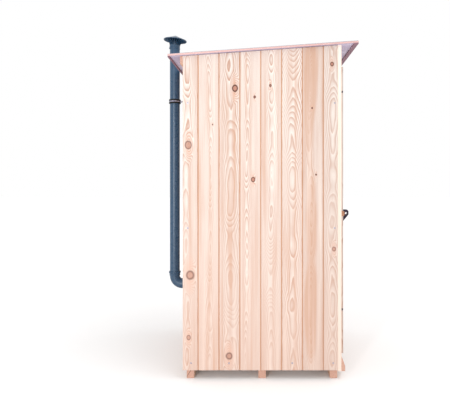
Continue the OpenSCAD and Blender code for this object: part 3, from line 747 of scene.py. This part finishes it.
pipe_low, pipe_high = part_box("vent_pipe")
pipe_at = (pipe_low + pipe_high) / 2 + Vector((0, 0.003, 0))
pipe_r = (pipe_high.x - pipe_low.x) / 2
pipe_wall = 0.0022
pipe_lip = 0.0008
turned(pipe_at, [(pipe_r, pipe_low.z), (pipe_r, pipe_high.z - pipe_lip), (pipe_r - pipe_lip, pipe_high.z),
                 (pipe_r - pipe_wall, pipe_high.z), (pipe_r - pipe_wall, pipe_low.z)], sides=64, ring=True)
fit_out(rounded("vent_pipe_tube"), pvc, "vent_pvc", "cabin", "vent_pipe")


# The elbow: a moulded quarter bend. Its plain end goes in through the rear wall, and its upper end is
# a socket with a thick bead, which holds the pipe's seal.

elbow_low, elbow_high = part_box("vent_elbow")
bend_r = 0.060
bend_y = pipe_at.y - bend_r
bend_z = pipe_hole_z + bend_r
socket_r = pipe_r + 0.0034
bead_r = elbow_high.x + 0.0015
bead_top = elbow_high.z
hoop((pipe_at.x, elbow_low.y, pipe_hole_z), pipe_r, 64, (math.radians(90), 0, 0))
bpy.ops.mesh.extrude_region_move(TRANSFORM_OT_translate={"value": (0, bend_y - elbow_low.y, 0)})
bpy.ops.mesh.spin(steps=14, angle=math.radians(-90), center=(pipe_at.x, bend_y, bend_z), axis=(1, 0, 0))
carry(pipe_at, [(pipe_r, bend_z), (socket_r, bend_z + 0.004), (socket_r, bead_top - 0.014),
                (socket_r + 0.0008, bead_top - 0.0125), (bead_r - 0.001, bead_top - 0.0115),
                (bead_r, bead_top - 0.0095), (bead_r, bead_top - 0.003), (bead_r - 0.001, bead_top - 0.001),
                (bead_r - 0.003, bead_top), (pipe_r + 0.0006, bead_top)])
close_up(False)
elbow = rounded("vent_elbow_bend")
thickened = elbow.modifiers.new("thickened", "SOLIDIFY")
thickened.thickness = 0.0022
thickened.offset = -1
bpy.ops.object.modifier_apply(modifier="thickened")
fit_out(elbow, pvc, "vent_pvc", "cabin", "vent_elbow")


# The wall collar: a moulded PVC rose, pushed over the elbow's plain end. It hides the gap round it in
# the wall.

collar_low, collar_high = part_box("wall_collar")
collar_r = collar_high.x
collar_out = collar_high.y - collar_low.y
hub_r = pipe_r + 0.004
turned((0, 0), [(collar_r, 0.0002), (collar_r, 0.003), (collar_r - 0.002, 0.0045), (hub_r + 0.001, 0.0055),
                (hub_r, 0.007), (hub_r, collar_out - 0.001), (hub_r - 0.001, collar_out),
                (pipe_r + 0.0003, collar_out), (pipe_r + 0.0003, 0.0002)], ring=True)
collar = rounded("wall_rose")
collar.rotation_euler.x = math.radians(-90)
collar.location = (pipe_at.x, collar_low.y, pipe_hole_z)
settle("wall_rose")
fit_out(collar, pvc, "vent_pvc", "cabin", "wall_collar")


# The pipe clamp: a zinc-plated steel band in two halves, drawn together by a bolt at each side, over a
# black rubber liner whose thick lips grip the pipe above and below the band.

clamp_low, clamp_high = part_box("pipe_clamp")
clamp_z = (clamp_low.z + clamp_high.z) / 2
clamp_half = (clamp_high.z - clamp_low.z) / 2 + 0.002
clamp_r = clamp_high.x + 0.003
band_half = 0.0042
band_edge = band_half - 0.0003
band_in = clamp_r - 0.0026


def both_halves(outline):
    """A closed outline from its lower half, given as radii and distances from the clamp's middle."""
    return [(r, clamp_z - z) for r, z in outline] + [(r, clamp_z + z) for r, z in reversed(outline)]


# Moulded rubber: nearly black and matt, with a fine bloom of dust.
rubber, node, shader = finish_named("moulded_rubber", IOR=1.5, Specular_IOR_Level=0.35)
bloom = node("TexNoise", node("TexCoord", out="Object"), Scale=160.0, Detail=3.0)
give(shader, "Base Color", node("MixRGB", node("MapRange", bloom, 0.45, 0.75), "0A0B0D", "17191C"))
give(shader, "Roughness", node("MapRange", bloom, 0.3, 0.7, 0.5, 0.75))
lip_half = ((pipe_r + 0.0003, clamp_half), (clamp_r - 0.0015, clamp_half), (clamp_r, clamp_half - 0.0016),
            (clamp_r, clamp_half - 0.0055), (clamp_r - 0.0016, band_half), (band_in, band_half))
turned(pipe_at, both_halves(lip_half), ring=True)
fit_out(rounded("clamp_liner"), rubber, "vent_pvc", "cabin", "pipe_clamp")

# Zinc plating on steel: bright blue-grey with a faint violet cast from its passivation, and spangled.
zinc, node, shader = finish_named("zinc_plated_steel", Metallic=1.0)
place = node("TexCoord", out="Object")
spangle = node("TexVoronoi", place, Scale=300.0)
tarnish = node("TexNoise", place, Scale=60.0, Detail=4.0)
zinc_tone = node("MixRGB", node("MapRange", spangle, 0.1, 0.6), "8F8BA3", "B3B1C0")
give(shader, "Base Color", node("MixRGB", node("MapRange", tarnish, 0.5, 0.75, 0.0, 0.5), zinc_tone, "5F5A78"))
give(shader, "Roughness", node("MapRange", tarnish, 0.3, 0.7, 0.28, 0.5))

turned(pipe_at, both_halves(((band_in, band_edge), (clamp_r - 0.0009, band_edge))), ring=True)
clamp_parts = [rounded("band")]
lug_reach = 0.0115
bolt_x = clamp_r + 0.0055
for side in (-1, 1):
    for half in (-1, 1):
        block((side * (clamp_r - 0.0015), pipe_at.y + half * 0.0012, clamp_z - band_edge),
              (side * (clamp_r + lug_reach), pipe_at.y + half * 0.0032, clamp_z + band_edge))
        bpy.ops.mesh.normals_make_consistent(inside=False)
        bevel(0.004, 4, lambda at, way: abs(at.x) > clamp_r + lug_reach - 0.001 and abs(way.y) > 0.9)
        clamp_parts.append(settle("lug"))
    turned((0, 0), [(0.0025, -0.0085), (0.0025, 0.0032), (0.0046, 0.0032), (0.0046, 0.0062), (0.0038, 0.0072)],
           sides=12)
    bolt = rounded("bolt", 20)
    turned((0, 0), [(0.0042, -0.0068), (0.0048, -0.0064), (0.0048, -0.0036), (0.0042, -0.0032)], sides=6)
    nut = settle("nut")
    bolt = join_all([bolt, nut], "bolt")
    bolt.rotation_euler.x = math.radians(90)
    bolt.location = (side * bolt_x, pipe_at.y, clamp_z)
    clamp_parts.append(settle("bolt"))
fit_out(join_all(clamp_parts, "clamp_band"), zinc, "zinc_steel", "cabin", "pipe_clamp")


# The clamp's stud: a threaded M8 rod between the band and a round foot plate on the rear wall, with a
# nut locked against each. The thread's pitch is 1.25 mm, and it is drawn at twice that.

stud_low, stud_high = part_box("clamp_stud")
stud_reach = stud_high.y - stud_low.y + 0.0012
foot_r = stud_high.x
thread_pitch = 0.0025
thread_depth = 0.0007
rod_r = 0.004
threads = [(rod_r - thread_depth * (turn % 2), 0.004 + turn * thread_pitch / 2)
           for turn in range(int((stud_reach - 0.004) / thread_pitch * 2))]
turned((0, 0), [(foot_r, 0.0002), (foot_r, 0.0022), (foot_r - 0.0012, 0.0038), (0.0085, 0.0042)], sides=32)
stud_parts = [rounded("foot", 30)]
turned((0, 0), threads + [(rod_r, stud_reach)], sides=16)
stud_parts.append(rounded("rod", 20))
for nut_at in (0.0043, stud_reach - 0.0095):
    turned((0, 0), [(0.0066, nut_at), (0.0075, nut_at + 0.0008), (0.0075, nut_at + 0.0052),
                    (0.0066, nut_at + 0.006)], sides=6)
    stud_parts.append(settle("nut"))
stud = join_all(stud_parts, "clamp_stud_rod")
stud.rotation_euler.x = math.radians(-90)
stud.location = (pipe_at.x, stud_low.y, clamp_z)
settle("clamp_stud_rod")
fit_out(stud, zinc, "zinc_steel", "cabin", "clamp_stud")


# The cowl: a moulded cap on the pipe's top. A beaded collar slips over the pipe, flared fins rise from
# it round a baffle, and a shallow conical hat sits on them. It was pushed on a little askew.

cowl_low, cowl_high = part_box("vent_cowl")
neck_z = pipe_high.z + 0.003
foot_z = cowl_low.z - neck_z
cowl_r = cowl_high.x
hat_rise = cowl_high.z - neck_z
cowl_collar_r = pipe_r + 0.0024
hat_edge = 0.036
hub_top = 0.055
fin_count = 24
cowl_tilt = math.radians(4.5)
fin_t = 0.0022
turned((0, 0), [(cowl_collar_r - 0.0002, foot_z), (cowl_collar_r + 0.0018, foot_z + 0.001),
                (cowl_collar_r + 0.002, foot_z + 0.003), (cowl_collar_r + 0.002, foot_z + 0.008),
                (cowl_collar_r, foot_z + 0.010), (cowl_collar_r, 0.0), (cowl_collar_r - 0.004, 0.002),
                (pipe_r + 0.0004, -0.001), (pipe_r + 0.0004, foot_z)], ring=True)
cowl_parts = [rounded("cowl_collar")]
turned((0, 0), [(pipe_r - 0.0065, -0.001), (pipe_r - 0.005, -0.001), (pipe_r - 0.005, 0.048),
                (pipe_r - 0.0065, 0.048)], ring=True)
cowl_parts.append(rounded("baffle"))

# The fins stand on the collar's rim. Their outer edge flares out to the hat's rim.
fin_flare = ((cowl_collar_r + 0.002, 0.0108), (cowl_collar_r + 0.005, 0.0165), (cowl_collar_r + 0.010, 0.0216),
             (cowl_collar_r + 0.016, 0.0264), (cowl_collar_r + 0.024, 0.0306), (cowl_collar_r + 0.033, 0.0338),
             (cowl_r - 0.004, hat_edge), (cowl_r - 0.004, hat_edge + 0.002), (pipe_r - 0.002, hub_top))
fin_foot = pipe_r - 0.008
block((fin_foot, -fin_t / 2, -0.002), (cowl_collar_r, fin_t / 2, 0.0))
pick("FACE", lambda at, way: way.z > 0.9)
fin_x, fin_z = cowl_collar_r, 0.0
for next_x, next_z in fin_flare:
    bpy.ops.mesh.extrude_region_move(TRANSFORM_OT_translate={"value": (0, 0, next_z - fin_z)})
    bpy.ops.transform.resize(value=((next_x - fin_foot) / (fin_x - fin_foot), 1, 1),
                             center_override=(fin_foot, 0, next_z))
    fin_x, fin_z = next_x, next_z
fin_pattern = settle("fin_pattern")
for number in range(fin_count):
    fin_turn = math.radians(360 / fin_count * (number + 0.5))
    cowl_parts.append(placed(fin_pattern, "fin", (0, 0, 0), (0, 0, fin_turn)))
bpy.data.objects.remove(fin_pattern)

turned((0, 0), [(0.010, hat_rise - 0.0045), (0.030, hub_top + 0.0035), (0.060, hat_edge + 0.011),
                (cowl_r - 0.0035, hat_edge + 0.0008), (cowl_r - 0.0025, hat_edge - 0.001),
                (cowl_r - 0.0004, hat_edge - 0.001), (cowl_r, hat_edge + 0.001), (cowl_r, hat_edge + 0.004),
                (cowl_r - 0.002, hat_edge + 0.0056), (cowl_r - 0.012, hat_edge + 0.0088),
                (0.052, hat_edge + 0.0185), (0.030, hat_edge + 0.0270), (0.014, hat_edge + 0.0340),
                (0.006, hat_rise - 0.0006), (0.0, hat_rise)], sides=64)
cowl_parts.append(rounded("hat", 25))
cowl = join_all(cowl_parts, "vent_cowl_head")
cowl.rotation_euler.x = cowl_tilt
cowl.location = (pipe_at.x, pipe_at.y, neck_z)
settle("vent_cowl_head")
fit_out(cowl, pvc, "vent_pvc", "cabin", "vent_cowl")


# The door: six tongued boards, 18 mm thick, hung on the cabin's right. Two ledges and a brace on the
# inner face hold them, and coach bolts go through boards and ledges.

leaf_low, leaf_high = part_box("door_leaf")
leaf_count = 6
leaf_row = board_row("door_boards", leaf_count, leaf_low, leaf_high, leaf_high.y - leaf_low.y,
                     leaf_high.z - leaf_low.z, random.Random(57), (leaf_low.y, leaf_low.z), knotty=True)
fit_out(leaf_row, planed, "pine_board", "door", "door_leaf")

plank("ledge_top", "door_ledge_top", (2, 1, 0), (0.01, 0.05, 0.45), (0.03, 0.6, 0.8), ((0.01, 0.12, 0.009),),
      0.003, body="door")
plank("ledge_bottom", "door_ledge_bottom", (2, 1, 0), (-0.01, 0.06, 0.91), (0.05, 0.5, 0.8),
      ((0.0, -0.2, 0.007),), 0.003, body="door")
brace_low, brace_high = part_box("door_brace")
brace_lean = math.atan2(brace_high.x - brace_low.x, brace_high.z - brace_low.z)
cad_timber("door_brace", "Z", (0.01, 0.04, 0.33), pale_planed, 0.002, lean=brace_lean,
           rough=0.65)


# The ironwork: forged steel straps with rolled eyes, pintle brackets beside them, and a cast pull. All
# are lacquered satin black, with a violet cast, and slightly uneven from the hammer and the mould.

iron, node, shader = finish_named("lacquered_black_iron", Metallic=0.6)
place = node("TexCoord", out="Object")
hammered = node("TexVoronoi", place, Scale=70.0, feature="SMOOTH_F1")
worn = node("TexNoise", place, Scale=120.0, Detail=4.0)
give(shader, "Base Color", node("MixRGB", node("MapRange", worn, 0.45, 0.75), "2A2330", "574A66"))
give(shader, "Roughness", node("MapRange", worn, 0.3, 0.7, 0.38, 0.6))
give(shader, "Normal", node("Bump", Strength=0.4, Distance=0.0008, Height=hammered))
for fitting in ("hinge_strap_top", "hinge_strap_bottom", "hinge_bracket_top", "hinge_bracket_bottom"):
    keep_cad(fitting, 0.0012, iron)

# The pull is one casting: a stout head with a small finger hole, over a wedge that tapers to the door.
pull_low, pull_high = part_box("door_handle")
pull_mid = (pull_low.x + pull_high.x) / 2
finger_hole_r = 0.0078
finger_hole = Vector((0, pull_low.y + 0.017, pull_high.z - 0.025))
block(pull_low, pull_high)
bpy.ops.object.mode_set(mode="OBJECT")
cut((0, pull_low.y, pull_low.z + 0.050), (0, -0.78, -0.62))
cut((0, pull_low.y + 0.009, pull_high.z), (0, -0.7, 0.7))
for side in (-1, 1):
    cut((pull_mid + side * 0.013, 0, pull_low.z + 0.045), (side, 0, -0.16))
pull = bpy.context.object
bore(pull, finger_hole, (1, 0, 0), finger_hole_r, 2.0)
bpy.ops.object.mode_set(mode="EDIT")
bevel(0.004, 3, lambda at, way: abs(way.x) > 0.9 and at.y < pull_high.y - 0.001
      and (at - finger_hole).yz.length > 0.009)
pull = rounded("door_pull", 35)
softened = pull.modifiers.new("softened", "BEVEL")
softened.width = 0.0018
softened.segments = 3
softened.limit_method = "ANGLE"
softened.angle_limit = math.radians(40)
bpy.ops.object.modifier_apply(modifier="softened")
fit_out(pull, iron, "black_iron", "door", "door_handle")

# Coach bolts: domed heads on the straps and on the door's face, where they hold the ledges.
dome_r = 0.0095
dome_rise = 0.0066
strap_t = 0.004
turned((0, 0), [(dome_r, 0.0), (dome_r, 0.0012), (dome_r * 0.93, 0.003), (dome_r * 0.76, 0.0048),
                (dome_r * 0.5, 0.006), (dome_r * 0.22, 0.0065), (0.0, dome_rise)], sides=24)
dome_pattern = rounded("dome_pattern", 60)
to_front = (math.radians(90), 0, 0)
ledge_bolts_x = (-0.360, -0.200, -0.020)
strap_bolts_x = (0.160, 0.270, 0.380)
leaf_domes, strap_domes = [], []
for ledge in ("door_ledge_top", "door_ledge_bottom"):
    height = (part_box(ledge)[0].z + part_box(ledge)[1].z) / 2
    for across in ledge_bolts_x:
        leaf_domes.append(placed(dome_pattern, "dome", (across, leaf_low.y + 0.0001, height), to_front))
    for across in strap_bolts_x:
        at = (across, leaf_low.y - strap_t + 0.0001, height)
        strap_domes.append(placed(dome_pattern, "dome", at, to_front))
fit_out(join_all(leaf_domes, "ledge_bolts"), zinc, "zinc_steel", "door")
fit_out(join_all(strap_domes, "strap_bolts"), iron, "black_iron", "door")

# Two smaller heads in the door's free edge close screws that run along the ledges.
edge_domes = []
for height in (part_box("door_ledge_top")[1].z - 0.034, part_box("door_ledge_bottom")[0].z + 0.0215):
    at = (leaf_low.x + 0.0001, (leaf_low.y + leaf_high.y) / 2, height)
    edge_domes.append(placed(dome_pattern, "dome", at, (0, math.radians(-90), 0), 0.8))
fit_out(join_all(edge_domes, "edge_screws"), iron, "black_iron", "door")

# The brackets' screws are smaller domes of the same kind, above and below each pintle.
bracket_domes = []
for bracket in ("hinge_bracket_top", "hinge_bracket_bottom"):
    bracket_low, bracket_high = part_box(bracket)
    for up in (bracket_low.z + 0.013, bracket_high.z - 0.013):
        at = (bracket_high.x - 0.012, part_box("front_wall_right")[0].y - 0.0039, up)
        bracket_domes.append(placed(dome_pattern, "dome", at, to_front, 0.6))
fit_out(join_all(bracket_domes, "bracket_screws"), iron, "black_iron", "cabin")
bpy.data.objects.remove(dome_pattern)


# The keeper: a small block of oiled hardwood with rounded front edges, glued and pinned to the jamb
# beside the pull.

jamb_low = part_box("front_wall_left")[0]
keeper_low = Vector((jamb_low.x + 0.002, jamb_low.y - 0.0195, 1.080))
keeper_high = Vector((leaf_low.x - 0.006, jamb_low.y - 0.0001, 1.112))
block(keeper_low, keeper_high)
bevel(0.009, 5, lambda at, way: at.y < keeper_low.y + 0.001 and abs(way.x) > 0.9)
bevel(0.002, 2, lambda at, way: at.x > keeper_high.x - 0.001 and at.y < keeper_high.y - 0.001)
keeper = rounded("jamb_keeper", 50)
grain_of(keeper, (keeper_low + keeper_high) / 2, (0.01, 0.02, 0.5), (0.0, 0.4, 1.0), (), (2, 1, 0))
oiled = pine("oiled_hardwood", "A8714E", "7A4A30", "8E5A3E", rough=0.5, ring_mm=3.0)
fit_out(keeper, oiled, "frame_timber", "cabin")


# The wall screws: zinc-plated, with flat heads and a cross recess, driven flush through the boards
# into the sole plates, the rails and the posts.

screw_r = 0.0058
turned((0, 0), [(screw_r, -0.001), (screw_r, 0.0004), (screw_r * 0.9, 0.0008), (0.0, 0.0011)], sides=24)
screw_pattern = rounded("screw_pattern", 30)
for recess_size in ((0.0052, 0.0013, 0.003), (0.0013, 0.0052, 0.003)):
    block([-s / 2 for s in recess_size], [s / 2 for s in recess_size])
    cross = settle("recess")
    cross.location.z = 0.0012
    recessed = screw_pattern.modifiers.new("recessed", "BOOLEAN")
    recessed.object = cross
    recessed.operation = "DIFFERENCE"
    bpy.context.view_layer.objects.active = screw_pattern
    bpy.ops.object.modifier_apply(modifier="recessed")
    bpy.data.objects.remove(cross)
screws = []
left_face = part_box("left_wall")[0].x
right_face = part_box("right_wall")[1].x
rear_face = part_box("rear_wall")[1].y
sole_z, rail_z, upper_z = 0.109, 1.002, 1.828
side_screws = [(0.219, sole_z), (-0.199, sole_z), (0.470, sole_z), (-0.470, sole_z), (0.492, upper_z),
               (0.492, rail_z), (-0.480, rail_z), (-0.480, upper_z)]
for across, up in side_screws:
    screws += [((left_face, across, up), (-1, 0, 0)), ((right_face, across, up), (1, 0, 0))]
for across, up in ((-0.45, sole_z), (0.0, sole_z), (0.45, sole_z), (-0.45, rail_z), (0.45, rail_z),
                   (-0.45, upper_z), (0.45, upper_z)):
    screws.append(((across, rear_face, up), (0, 1, 0)))
screws_made = []
for place, way in screws:
    screws_made.append(placed(screw_pattern, "screw", place, Vector(way).to_track_quat("Z", "Y").to_euler()))
bpy.data.objects.remove(screw_pattern)
fit_out(join_all(screws_made, "wall_screws"), zinc, "zinc_steel", "cabin")
